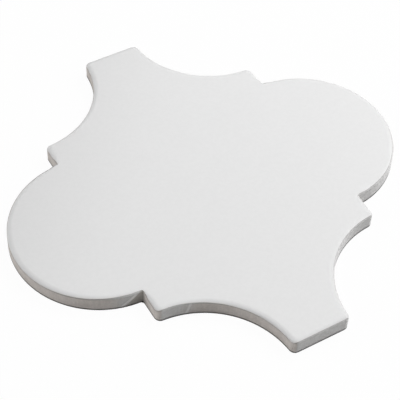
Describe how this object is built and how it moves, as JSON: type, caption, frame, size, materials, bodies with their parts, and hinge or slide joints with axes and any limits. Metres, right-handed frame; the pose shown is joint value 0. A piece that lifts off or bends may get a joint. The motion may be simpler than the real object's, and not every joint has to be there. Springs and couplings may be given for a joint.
{
  "type": "moroccan arabesque tile",
  "caption": "Flat arabesque (lantern) wall tile with round lobes, scooped necks, a softly rounded matt white face and a keyed back; tiles nest edge to edge.",
  "frame": {"origin": "middle of the tile's back, in the plane of its rim and ribs", "axes": "+X towards one round lobe, +Y towards one straight-ended neck, +Z out of the glazed face"},
  "size_m": [0.15, 0.1492, 0.006],
  "materials": {
    "glazed_clay": "matt white glaze over a pale clay body"
  },
  "bodies": {
    "root": {"arabesque_tile": "glazed_clay"}
  },
  "joints": []
}
